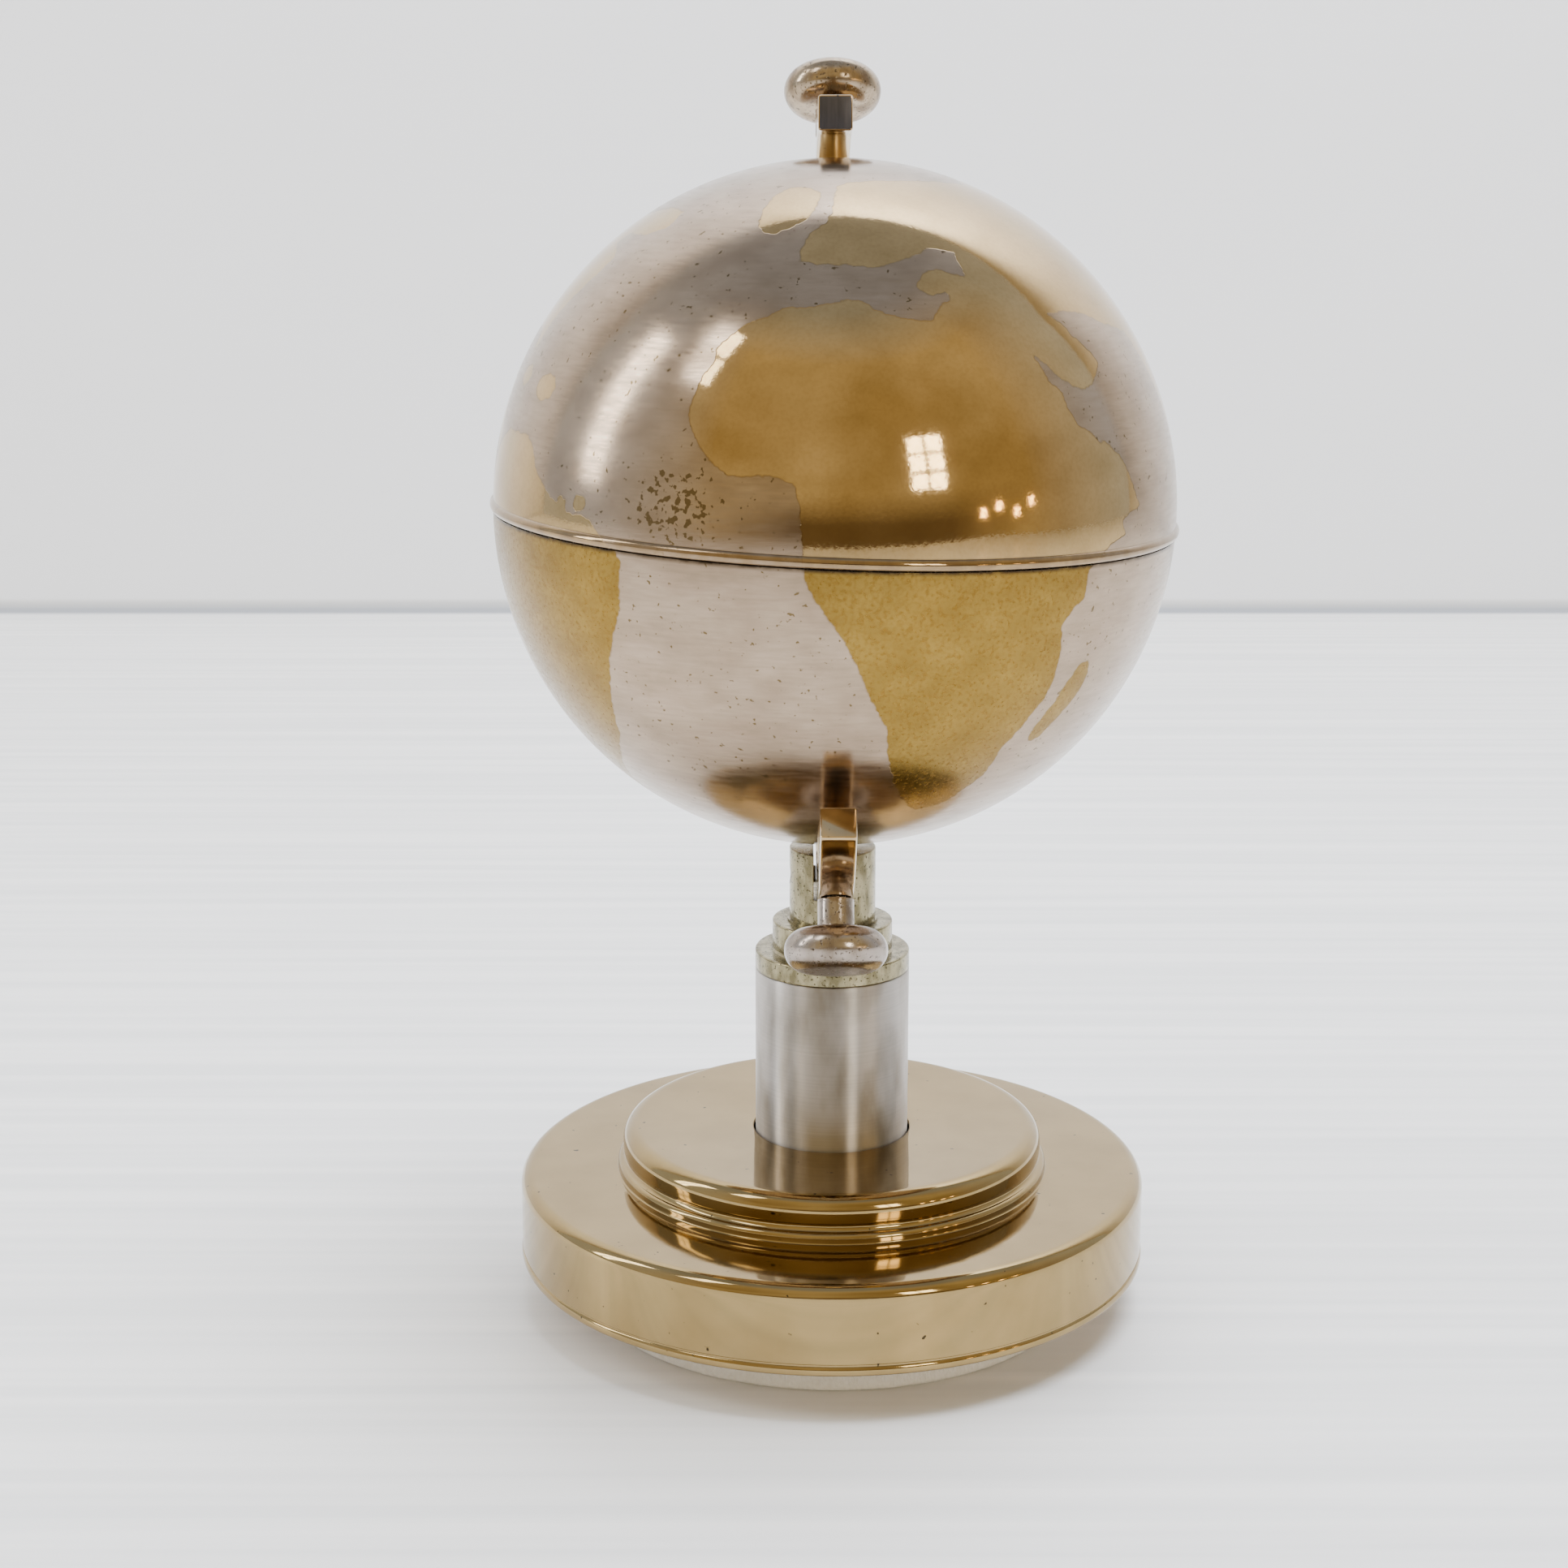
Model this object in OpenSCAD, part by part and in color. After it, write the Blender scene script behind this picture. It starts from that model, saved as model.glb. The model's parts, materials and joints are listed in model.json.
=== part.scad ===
// Desktop globe on stand, in millimetres, +Z up.
// The origin is the centre of the underside of the felt pad.
// The front is towards -Y. The meridian bar lies in the plane x = 0.

/* [Globe] */
// Outside diameter of the globe
globe_d = 100; // [94:1:104]
// Thickness of the two spun shells
shell_t = 0.8; // [0.6:0.1:1.2]
// How far the seam lies below the globe's centre
seam_drop = 1.7; // [0:0.1:4]
// Height of the rolled lip on the seam
lip_h = 1.8; // [1.2:0.1:2.2]
// How far the lip stands out from the shell
lip_out = 0.5; // [0.3:0.1:0.7]
// Turn of the globe on its axle at rest, which lowers the seam on the right
globe_turn = 5; // [-20:0.5:20]

/* [Axle and knobs] */
// Lean of the axle from upright, with its top end to the back
axle_tilt = 26; // [24:1:30]
// Diameter of the axle
axle_d = 3; // [2.4:0.1:3.2]
// Diameter of the disc knobs
knob_d = 14.8; // [12:0.2:16]
// Thickness of the disc knobs
knob_h = 6.2; // [5:0.1:7]
// Diameter of the knobs' necks and of the spacers
neck_d = 5.2; // [4.6:0.1:5.6]
// Length of a knob's neck outside the bar
neck_h = 4.3; // [3:0.1:5]

/* [Meridian bar] */
// Side of the square bar
bar_w = 5; // [4.6:0.1:5.4]
// Chamfer along the bar's four edges
bar_chamfer = 0.4; // [0.2:0.1:0.8]
// Gap between the globe and the bar
bar_gap = 3.8; // [3:0.1:5]
// Angle of the bar's upper end behind the top
bar_start = 3; // [0:0.5:6]
// Angle of the bar's lower end in front of the bottom
bar_overrun = 48.5; // [42:0.5:54]

/* [Post and collars] */
// Diameter of the slotted post
post_d = 13.1; // [12:0.1:14]
// Gap between the top of the post and the globe
post_gap = 1.9; // [1.4:0.1:2.2]
// Play of the bar in the slot, both sides together
slot_play = 0.9; // [0.5:0.1:1]
// Height of the plain post under the slot
post_foot = 4.4; // [3.8:0.1:6]
// Diameter of the upper collar
upper_collar_d = 18.3; // [16:0.1:20]
// Height of the upper collar
upper_collar_h = 4.6; // [4:0.1:5.4]
// Height of the lower collar
lower_collar_h = 2.9; // [2.2:0.1:3.4]

/* [Column] */
// Diameter of the column and the lower collar
column_d = 23.6; // [22:0.1:25]
// Height of the column above the base
column_h = 26; // [22:0.5:34]

/* [Base] */
// Diameter of the base
base_d = 96.6; // [92:0.2:104]
// Diameter of the upper step of the base
step_d = 64.8; // [60:0.2:70]
// Thickness of the base shell
base_t = 0.8; // [0.6:0.1:1]
// Height of the upper step's rim above the lower step
step_h = 6.8; // [6.4:0.1:8]
// Height of the lower step's wall, from the rim to the flat
wall_h = 13.4; // [12:0.1:16]
// Depth of the dish in the upper step, at the column
dish = 0.9; // [0.4:0.1:1.2]
// Diameter of the felt pad
pad_d = 77; // [70:1:84]
// Height of the base's rim above the table
rim_z = 7.2; // [5:0.1:8]

/* [Hidden] */
$fn = 96;

// Small gap between pieces that are screwed, soldered or pushed together
fit_gap = 0.02;
// Radial running gap between the axle and the bar
run_gap = 0.06;
// Gap at a face that slides on another
face_gap = 0.1;
// Overlap of a cutting tool past the face it cuts
past = 1;

// Base
base_r = base_d / 2;
step_r = step_d / 2;
flat_z = rim_z + wall_h;
step_z = flat_z + step_h;
lower_round = 2;
upper_round = 2.5;
rim_bead_r = 0.65;
rim_bead_out = 0.15;
rim_groove_r = 0.3;
step_bead_r = 0.6;
step_bead_out = 0.85;
step_bead_h = 1.4;
step_flare_h = 1.3;
step_undercut = 0.4;
hole_gap = 0.25;
board_h = 2.5;
pad_h = rim_z + 0.2;
board_z = pad_h;
weight_z = board_z + board_h;
weight_gap = 0.3;
foot_sink = 2.3;

// Column, collars and post
column_r = column_d / 2;
column_top_z = step_z - dish + column_h;
column_z = step_z - dish - foot_sink;
collar_chamfer = 0.3;
collar_top_z = column_top_z + lower_collar_h + upper_collar_h;
slot_floor_z = collar_top_z + post_foot;
post_ring_out = 0.35;
post_ring_h = 0.3;
spigot_d = 8;
spigot_h = lower_collar_h + upper_collar_h;

// Tie rod through the base and the column, with its nut in a pocket in the weight
rod_d = 5;
rod_hole_d = 5.6;
rod_top_z = collar_top_z + 1.5;
nut_h = 4;
nut_across = 8;
washer_d = 10;
washer_h = 1;
pocket_d = 12;
pocket_h = 6;
rod_end = 0.3;

// Globe, set by the bar that rests on the floor of the slot
globe_r = globe_d / 2;
bar_in_r = globe_r + bar_gap;
bar_out_r = bar_in_r + bar_w;
centre_z = slot_floor_z + face_gap + bar_out_r;
post_top_z = centre_z - globe_r - post_gap;
seam_z = -seam_drop;
ring_t = 0.7;
ring_h = 7;
boss_d = 9;
boss_h = 6;
slot_w = bar_w + slot_play;

// Knobs, measured outwards from the globe's centre along the axle
neck_start = bar_out_r + face_gap;
knob_start = bar_out_r + neck_h;
knob_mid = knob_start + knob_h / 2;
axle_end = knob_mid + 1;

// Clamp screw in the left wall of the slot
screw_d = 3;
screw_l = 2.4;
screw_sink = 0.15;
socket_across = 1.5;
socket_h = 1.2;
tip_d = 2.6;
tip_gap = 0.05;
screw_z = slot_floor_z + face_gap + bar_w / 2;
screw_out_x = post_d / 2 - screw_sink;

// A disc with both rims chamfered
module turned_disc(d, h, chamfer) {
    rotate_extrude()
        polygon([
            [0, 0],
            [d / 2 - chamfer, 0],
            [d / 2, chamfer],
            [d / 2, h - chamfer],
            [d / 2 - chamfer, h],
            [0, h]
        ]);
}

// Moves a piece from the z axis onto the axle, at the globe's centre
module on_axle(south = false) {
    translate([0, 0, centre_z])
        rotate([(south ? 180 : 0) - axle_tilt, 0, 0])
            children();
}

// Moves a piece to the globe's centre and turns it with the globe
module on_globe() {
    translate([0, 0, centre_z])
        rotate([-axle_tilt, 0, 0])
            rotate([0, 0, globe_turn])
                rotate([axle_tilt, 0, 0])
                    children();
}

// Section of the outside of the base, a step with a round edge on a wider one
module base_outline() {
    flat_r = base_r - lower_round;
    translate([0, rim_z])
        square([base_r, wall_h - lower_round]);
    translate([0, rim_z])
        square([flat_r, wall_h]);
    translate([flat_r, flat_z - lower_round])
        circle(r = lower_round);
    translate([base_r + rim_bead_out - rim_bead_r, rim_z + rim_bead_r])
        circle(r = rim_bead_r);
    step_outline();
}

// Section of the upper step, with a bead at its foot and a dished top
module step_outline() {
    bead_x = step_r + step_bead_out - step_bead_r;
    translate([0, flat_z])
        square([step_r + step_bead_out, step_bead_h - step_bead_r]);
    translate([0, flat_z])
        square([bead_x, step_bead_h]);
    translate([bead_x, flat_z + step_bead_h - step_bead_r])
        circle(r = step_bead_r);
    flare_z = flat_z + step_bead_h;
    wall_z = flare_z + step_flare_h;
    polygon([
        [0, flat_z],
        [bead_x, flare_z],
        [step_r - step_undercut, wall_z],
        [step_r, wall_z],
        [step_r, step_z - upper_round],
        [step_r - upper_round, step_z - upper_round],
        [step_r - upper_round, step_z],
        [column_r + hole_gap, step_z - dish],
        [0, step_z - dish]
    ]);
    translate([step_r - upper_round, step_z - upper_round])
        circle(r = upper_round);
}

// Section of the hollow inside the base shell
module base_hollow() {
    in_r = base_r - base_t;
    in_step_r = step_r - base_t;
    polygon([
        [0, rim_z - past],
        [in_r, rim_z - past],
        [in_r, flat_z - 2 * base_t],
        [in_r - base_t, flat_z - base_t],
        [in_step_r, flat_z - base_t],
        [in_step_r, step_z - upper_round],
        [in_step_r - upper_round / 2, step_z - base_t],
        [step_r - upper_round, step_z - base_t],
        [column_r + hole_gap, step_z - dish - base_t],
        [0, step_z - dish - base_t]
    ]);
}

module felt_pad() {
    color("whitesmoke")
        cylinder(h = pad_h, d = pad_d);
}

module base_shell() {
    color("darkkhaki")
        difference() {
            rotate_extrude()
                difference() {
                    base_outline();
                    base_hollow();
                    translate([base_r + rim_groove_r / 2, rim_z + 2 * rim_bead_r + rim_groove_r])
                        circle(r = rim_groove_r);
                }
            cylinder(h = step_z + past, r = column_r + hole_gap);
        }
}

module base_board() {
    color("burlywood")
        translate([0, 0, board_z])
            cylinder(h = board_h, r = base_r - base_t - weight_gap);
}

// Cast weight that fills the shell and carries the column
module base_weight() {
    color("dimgray")
        difference() {
            union() {
                translate([0, 0, weight_z])
                    cylinder(h = flat_z - 2 * base_t - weight_z, r = base_r - base_t - weight_gap);
                translate([0, 0, weight_z])
                    cylinder(h = column_z - weight_z, r = step_r - base_t - weight_gap);
            }
            cylinder(h = step_z, d = rod_hole_d);
            translate([0, 0, weight_z - past])
                cylinder(h = pocket_h + past, d = pocket_d);
        }
}

module tie_rod() {
    color("lightgray")
        translate([0, 0, weight_z + rod_end])
            cylinder(h = rod_top_z - weight_z - rod_end, d = rod_d);
}

module tie_nut() {
    color("lightgray")
        translate([0, 0, weight_z + pocket_h - washer_h - nut_h])
            difference() {
                cylinder(h = nut_h, d = nut_across / cos(30), $fn = 6);
                translate([0, 0, -past])
                    cylinder(h = nut_h + 2 * past, d = rod_d + 2 * fit_gap);
            }
}

module tie_washer() {
    color("silver")
        translate([0, 0, weight_z + pocket_h - washer_h])
            difference() {
                cylinder(h = washer_h, d = washer_d);
                translate([0, 0, -past])
                    cylinder(h = washer_h + 2 * past, d = rod_hole_d);
            }
}

module column() {
    color("silver")
        translate([0, 0, column_z])
            difference() {
                cylinder(h = column_top_z - column_z, r = column_r);
                translate([0, 0, -past])
                    cylinder(h = column_top_z - column_z + 2 * past, d = rod_hole_d);
            }
}

// A collar with a hole for the post's spigot
module collar(d, h) {
    difference() {
        turned_disc(d, h, collar_chamfer);
        translate([0, 0, -past])
            cylinder(h = h + 2 * past, d = spigot_d + 2 * fit_gap);
    }
}

module collar_lower() {
    color("darkgray")
        translate([0, 0, column_top_z])
            collar(column_d, lower_collar_h);
}

module collar_upper() {
    color("darkgray")
        translate([0, 0, column_top_z + lower_collar_h])
            collar(upper_collar_d, upper_collar_h);
}

// Slotted post, with a spigot that goes down through both collars
module post() {
    color("tan")
        difference() {
            union() {
                translate([0, 0, collar_top_z])
                    turned_disc(post_d, post_top_z - collar_top_z, collar_chamfer);
                translate([0, 0, collar_top_z])
                    cylinder(h = post_ring_h, d = post_d + 2 * post_ring_out);
                translate([0, 0, collar_top_z - spigot_h])
                    cylinder(h = spigot_h + post_ring_h, d = spigot_d);
            }
            translate([-slot_w / 2, -post_d, slot_floor_z])
                cube([slot_w, 2 * post_d, post_top_z]);
            translate([0, 0, collar_top_z - spigot_h - past])
                cylinder(h = rod_top_z + fit_gap - collar_top_z + spigot_h + past, d = rod_d + 2 * fit_gap);
            translate([-post_d, 0, screw_z])
                rotate([0, 90, 0])
                    cylinder(h = post_d, d = screw_d + 2 * fit_gap);
        }
}

// Headless screw with a six-sided socket
module clamp_screw() {
    color("dimgray")
        translate([-screw_out_x, 0, screw_z])
            rotate([0, 90, 0])
                difference() {
                    cylinder(h = screw_l, d = screw_d);
                    translate([0, 0, -past])
                        cylinder(h = socket_h + past, d = socket_across / cos(30), $fn = 6);
                }
}

// Nylon tip between the screw and the bar
module clamp_tip() {
    tip_l = screw_out_x - screw_l - bar_w / 2 - tip_gap;
    color("ivory")
        translate([screw_l - screw_out_x, 0, screw_z])
            rotate([0, 90, 0])
                cylinder(h = tip_l, d = tip_d);
}

// Square bar bent to a C around the globe, bored for the axle near both ends
module meridian_arc() {
    half = bar_w / 2;
    flat_half = half - bar_chamfer;
    color("goldenrod")
        difference() {
            translate([0, 0, centre_z])
                rotate([0, -90, 0])
                    rotate([0, 0, bar_start])
                        rotate_extrude(angle = 180 + bar_overrun - bar_start)
                            translate([bar_in_r + half, 0])
                                polygon([
                                    [-half, -flat_half],
                                    [-flat_half, -half],
                                    [flat_half, -half],
                                    [half, -flat_half],
                                    [half, flat_half],
                                    [flat_half, half],
                                    [-flat_half, half],
                                    [-half, flat_half]
                                ]);
            on_axle()
                translate([0, 0, -bar_out_r - past])
                    cylinder(h = 2 * (bar_out_r + past), d = axle_d + 2 * run_gap);
        }
}

// A hollow ball with the axle's hole, before it is cut at the seam
module drilled_ball() {
    difference() {
        sphere(r = globe_r);
        sphere(r = globe_r - shell_t);
        rotate([-axle_tilt, 0, 0])
            cylinder(h = globe_d + 2 * past, d = axle_d + 2 * fit_gap, center = true);
    }
}

module upper_shell() {
    color("lightgray")
        on_globe()
            union() {
                difference() {
                    drilled_ball();
                    translate([0, 0, seam_z - globe_d])
                        cylinder(h = globe_d, r = globe_d);
                }
                translate([0, 0, seam_z + lip_h / 2])
                    rotate_extrude()
                        translate([globe_r + lip_out - lip_h / 2, 0])
                            circle(d = lip_h);
            }
}

module lower_shell() {
    color("gainsboro")
        on_globe()
            difference() {
                drilled_ball();
                translate([0, 0, seam_z])
                    cylinder(h = globe_d, r = globe_d);
            }
}

// Sleeve inside the seam that both shells are soldered to
module joint_ring() {
    out_r = globe_r - lip_h;
    color("peru")
        on_globe()
            translate([0, 0, seam_z])
                difference() {
                    cylinder(h = ring_h, r = out_r, center = true);
                    cylinder(h = ring_h + 2 * past, r = out_r - ring_t, center = true);
                }
}

module axle() {
    color("silver")
        on_axle()
            cylinder(h = 2 * axle_end, d = axle_d, center = true);
}

// Disc knob with a round edge and a neck, on the z axis
module knob() {
    edge_r = knob_h / 2;
    difference() {
        union() {
            translate([0, 0, neck_start])
                cylinder(h = knob_mid - neck_start, d = neck_d);
            translate([0, 0, knob_start])
                cylinder(h = knob_h, r = knob_d / 2 - edge_r);
            translate([0, 0, knob_mid])
                rotate_extrude()
                    translate([knob_d / 2 - edge_r, 0])
                        circle(r = edge_r);
        }
        cylinder(h = axle_end + fit_gap, d = axle_d + 2 * fit_gap);
    }
}

module north_knob() {
    color("rosybrown")
        on_axle()
            knob();
}

module south_knob() {
    color("rosybrown")
        on_axle(south = true)
            knob();
}

// Sleeve on the axle between the globe and the bar
module spacer() {
    difference() {
        translate([0, 0, globe_r - past])
            cylinder(h = bar_gap + past - face_gap, d = neck_d);
        sphere(r = globe_r + fit_gap);
        cylinder(h = bar_out_r, d = axle_d + 2 * fit_gap);
    }
}

module north_spacer() {
    color("khaki")
        on_axle()
            spacer();
}

module south_spacer() {
    color("khaki")
        on_axle(south = true)
            spacer();
}

// Boss soldered inside a shell, which grips the axle
module boss() {
    in_r = globe_r - shell_t - fit_gap;
    difference() {
        intersection() {
            translate([0, 0, in_r - boss_h])
                cylinder(h = boss_h, d = boss_d);
            sphere(r = in_r);
        }
        cylinder(h = globe_r, d = axle_d + 2 * fit_gap);
    }
}

module north_boss() {
    color("gold")
        on_axle()
            boss();
}

module south_boss() {
    color("gold")
        on_axle(south = true)
            boss();
}

felt_pad();
base_shell();
base_board();
base_weight();
tie_rod();
tie_nut();
tie_washer();
column();
collar_lower();
collar_upper();
post();
clamp_screw();
clamp_tip();
meridian_arc();
upper_shell();
lower_shell();
joint_ring();
axle();
north_knob();
south_knob();
north_spacer();
south_spacer();
north_boss();
south_boss();
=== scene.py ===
# %% [markdown]
# # A desktop globe on its stand
# The real object is a small metal globe on a slotted post, a turned column and a stepped base.
# Nearly every piece was turned, spun or bent from metal, so most of the modelling here is one idea:
# draw half a section, round its corners, and spin it about an axis. The finishes do the rest.
# Every size is in millimetres and is turned to metres where a mesh is made.

import json
import math

import bmesh
import bpy
import numpy as np
from mathutils import Matrix, Vector, noise
from mathutils.kdtree import KDTree

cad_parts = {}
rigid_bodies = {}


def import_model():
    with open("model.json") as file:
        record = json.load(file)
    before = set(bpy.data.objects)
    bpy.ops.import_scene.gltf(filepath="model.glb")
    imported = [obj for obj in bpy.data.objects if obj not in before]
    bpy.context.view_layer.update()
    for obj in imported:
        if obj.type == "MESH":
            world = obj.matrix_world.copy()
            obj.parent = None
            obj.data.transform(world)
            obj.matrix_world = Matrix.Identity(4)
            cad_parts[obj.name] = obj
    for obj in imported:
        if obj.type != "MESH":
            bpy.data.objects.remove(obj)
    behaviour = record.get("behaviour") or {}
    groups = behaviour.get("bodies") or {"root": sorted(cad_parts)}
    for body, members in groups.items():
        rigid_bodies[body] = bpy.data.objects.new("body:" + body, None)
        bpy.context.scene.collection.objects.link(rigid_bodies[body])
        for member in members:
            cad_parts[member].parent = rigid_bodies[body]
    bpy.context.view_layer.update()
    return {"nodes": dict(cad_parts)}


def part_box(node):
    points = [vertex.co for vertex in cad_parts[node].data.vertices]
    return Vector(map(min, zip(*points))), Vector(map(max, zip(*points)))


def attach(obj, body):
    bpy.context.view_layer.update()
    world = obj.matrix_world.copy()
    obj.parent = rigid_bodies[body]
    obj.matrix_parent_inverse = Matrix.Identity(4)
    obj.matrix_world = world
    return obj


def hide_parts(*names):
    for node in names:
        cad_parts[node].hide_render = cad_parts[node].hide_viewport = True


for spare in [o for o in bpy.data.objects if o.name in ("Cube", "Light", "Camera")]:
    bpy.data.objects.remove(spare)
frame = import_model()
MM = 0.001

# %% [markdown]
# ## Sizes that the pieces share
# The globe's centre is what the bar, the axle and the shells are drawn about. The axle leans back, the
# seam lies a little below the centre, and the globe rests with a small turn on its axle.

# %% Sizes that the pieces share
GLOBE_R = 50.0
CENTRE_Z = 123.3
SEAM_Z = -1.7
TURN = math.radians(5)
TILT = math.radians(26)
AXLE = Vector((0, math.sin(TILT), math.cos(TILT)))
CENTRE = Vector((0, 0, CENTRE_Z * MM))
shell_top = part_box("upper_shell")[1].z / MM
print("upper shell's top, mm:", round(shell_top, 2), "and drawn at", CENTRE_Z + GLOBE_R)

# %% [markdown]
# ## The camera
# A product is looked at from a little above, with a lens long enough to keep its circles round.
# The camera stands nearly 40 cm in front and looks down by less than 14 degrees.

# %% Camera
lens = bpy.data.cameras.new("camera")
lens.lens = 61.5
camera = bpy.data.objects.new("camera", lens)
camera.location = Vector((-7.4, -393.3, 177.3)) * MM
camera.rotation_euler = (math.radians(76.25), 0, 0)
bpy.context.scene.collection.objects.link(camera)
bpy.context.scene.camera = camera
print("camera distance, mm:", round(camera.location.length / MM))

# %% [markdown]
# ## Tools for the finishes
# A colour is written as people pick it on a screen, in sRGB, and a shader wants it linear.
# One small function adds any node with its settings, values and links, which keeps each finish short.


# %% Colours and nodes
def linear(hex_colour):
    """Turns an sRGB colour such as #DBB765 to the linear one that a shader wants."""
    made = []
    for at in (1, 3, 5):
        share = int(hex_colour[at : at + 2], 16) / 255
        made.append(share / 12.92 if share <= 0.04045 else ((share + 0.055) / 1.055) ** 2.4)
    return (*made, 1)


def add_node(tree, kind, links=None, values=None, **settings):
    """Adds one node to a node tree with its settings, its values and its links."""
    node = tree.nodes.new(kind)
    for name, setting in settings.items():
        setattr(node, name, setting)
    for socket, value in (values or {}).items():
        node.inputs[socket].default_value = value
    for socket, source in (links or {}).items():
        tree.links.new(source, node.inputs[socket])
    return node


def new_finish(name, **values):
    """Starts a material and returns it with its node tree, its shader and its Object coordinates."""
    material = bpy.data.materials.new(name)
    material.use_nodes = True
    tree = material.node_tree
    shader = tree.nodes["Principled BSDF"]
    for socket, value in values.items():
        shader.inputs[socket.replace("_", " ")].default_value = value
    place = add_node(tree, "ShaderNodeTexCoord").outputs["Object"]
    return material, tree, shader, place


def grain(tree, place, size_mm, stretch=(1, 1, 1), detail=3.0):
    """Noise whose blotches are about size_mm across, drawn longer where stretch is below 1."""
    scale = Vector(stretch) / (size_mm * MM)
    mapped = add_node(tree, "ShaderNodeMapping", {"Vector": place}, {"Scale": scale})
    links = {"Vector": mapped.outputs[0]}
    return add_node(tree, "ShaderNodeTexNoise", links, {"Scale": 1.0, "Detail": detail}).outputs[0]


def ranged(tree, source, low, high, to_low=0.0, to_high=1.0):
    """Carries a value from one range to another and clamps it."""
    values = {1: low, 2: high, 3: to_low, 4: to_high}
    return add_node(tree, "ShaderNodeMapRange", {"Value": source}, values).outputs[0]


def mixed(tree, share, first, second):
    """Mixes two colours, each a hex value or a node's output, by a share from 0 to 1."""
    links = {0: share}
    values = {}
    for socket, colour in ((6, first), (7, second)):
        if isinstance(colour, str):
            values[socket] = linear(colour)
        else:
            links[socket] = colour
    return add_node(tree, "ShaderNodeMix", links, values, data_type="RGBA").outputs[2]


def sum_of(tree, operation, first, second=None):
    """Does one sum on a node's output, with a second output or a number, and returns the result."""
    links, values = {0: first}, {}
    if isinstance(second, (int, float)):
        values[1] = second
    elif second is not None:
        links[1] = second
    return add_node(tree, "ShaderNodeMath", links, values, operation=operation).outputs[0]


def bumped(tree, shader, height, depth_mm):
    """Turns a height from 0 to 1 into relief of depth_mm, and puts it on the shader."""
    values = {"Distance": depth_mm * MM, "Strength": 1.0}
    bump = add_node(tree, "ShaderNodeBump", {"Height": height}, values)
    tree.links.new(bump.outputs[0], shader.inputs["Normal"])


print("tools for the finishes are ready")

# %% [markdown]
# ## Pale brass on the base
# The base is pressed steel plated with pale brass, polished and lacquered. It mirrors the room,
# with a faint ripple from the polishing wheel, a few dark specks and a light haze of handling.


# %% Pale brass
def polished_metal(name, colour, dull, haze, speck_mm, speck_share, spotted="#3A3226"):
    """A polished metal with cloudy haze, a faint ripple and small dark specks."""
    material, tree, shader, place = new_finish(name, Metallic=1.0)
    cloud = grain(tree, place, 9, detail=4)
    tone = mixed(tree, ranged(tree, cloud, 0.35, 0.7), colour, dull)
    specks = grain(tree, place, speck_mm, detail=1)
    seen = ranged(tree, specks, speck_share, speck_share + 0.03)
    tree.links.new(mixed(tree, seen, tone, spotted), shader.inputs["Base Color"])
    tree.links.new(ranged(tree, cloud, 0.3, 0.7, haze, haze * 1.8), shader.inputs["Roughness"])
    bumped(tree, shader, grain(tree, place, 5, detail=1), 0.012)
    return material


pale_brass = polished_metal("lacquered_pale_brass", "#9F895E", "#947E54", 0.05, 1.1, 0.76)
print("made", pale_brass.name)

# %% [markdown]
# ## Turned aluminium on the column
# A lathe tool leaves fine rings round a column. They spread each reflection up and down but not
# sideways, so a window shows as an upright streak with crisp sides: that is what anisotropy is for, with
# its tangent running round the z axis and a quarter turn between that and the long way of a highlight.
# The real rings are about 0.1 mm apart, and are drawn 0.35 mm apart.

# %% Turned aluminium
turned_aluminium, tree, shader, place = new_finish("turned_aluminium", Metallic=1.0)
shader.inputs["Anisotropic"].default_value = 1.0
shader.inputs["Anisotropic Rotation"].default_value = 0.25
around = add_node(tree, "ShaderNodeTangent", direction_type="RADIAL", axis="Z")
tree.links.new(around.outputs[0], shader.inputs["Tangent"])
rings = grain(tree, place, 0.35, (0.004, 0.004, 1), detail=2)
patches = grain(tree, place, 5, (1, 1, 0.4), detail=4)
stained = mixed(tree, ranged(tree, patches, 0.42, 0.72), "#C2BCB6", "#9E968A")
lined = mixed(tree, ranged(tree, rings, 0.35, 0.75, 0, 0.25), stained, "#8F8B86")
tree.links.new(lined, shader.inputs["Base Color"])
tree.links.new(ranged(tree, patches, 0.3, 0.7, 0.36, 0.44), shader.inputs["Roughness"])
bumped(tree, shader, rings, 0.002)
print("made", turned_aluminium.name)

# %% [markdown]
# ## Aged nickel on the post and collars
# These are nickel-plated brass that has gone olive and cloudy where hands and polish left their mark.
# Mottled colour and mottled roughness from the same noise keep the stains and the dull spots together.


# %% Aged nickel
def aged_plating(name, clean, stained, pitted, blotch_mm, shine):
    """Old plating, where stains, dull spots and fine pits lie together."""
    material, tree, shader, place = new_finish(name, Metallic=1.0)
    blotches = ranged(tree, grain(tree, place, blotch_mm, (1, 1, 0.5), detail=6), 0.4, 0.66)
    pits = ranged(tree, grain(tree, place, 0.45, detail=3), 0.6, 0.68)
    tone = mixed(tree, blotches, clean, stained)
    tree.links.new(mixed(tree, pits, tone, pitted), shader.inputs["Base Color"])
    tree.links.new(ranged(tree, blotches, 0, 1, shine, shine + 0.16), shader.inputs["Roughness"])
    bumped(tree, shader, pits, -0.02)
    return material


aged_nickel = aged_plating("aged_nickel_plating", "#999072", "#70684D", "#3E3826", 1.6, 0.15)
knob_nickel = aged_plating("worn_nickel_knob", "#A4998F", "#7F7264", "#4C4238", 3.0, 0.17)
knob_brass = aged_plating("rubbed_brass_knob", "#AA9880", "#7F6C56", "#4A3D29", 2.6, 0.14)
print("made", aged_nickel.name, knob_nickel.name, knob_brass.name)
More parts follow.
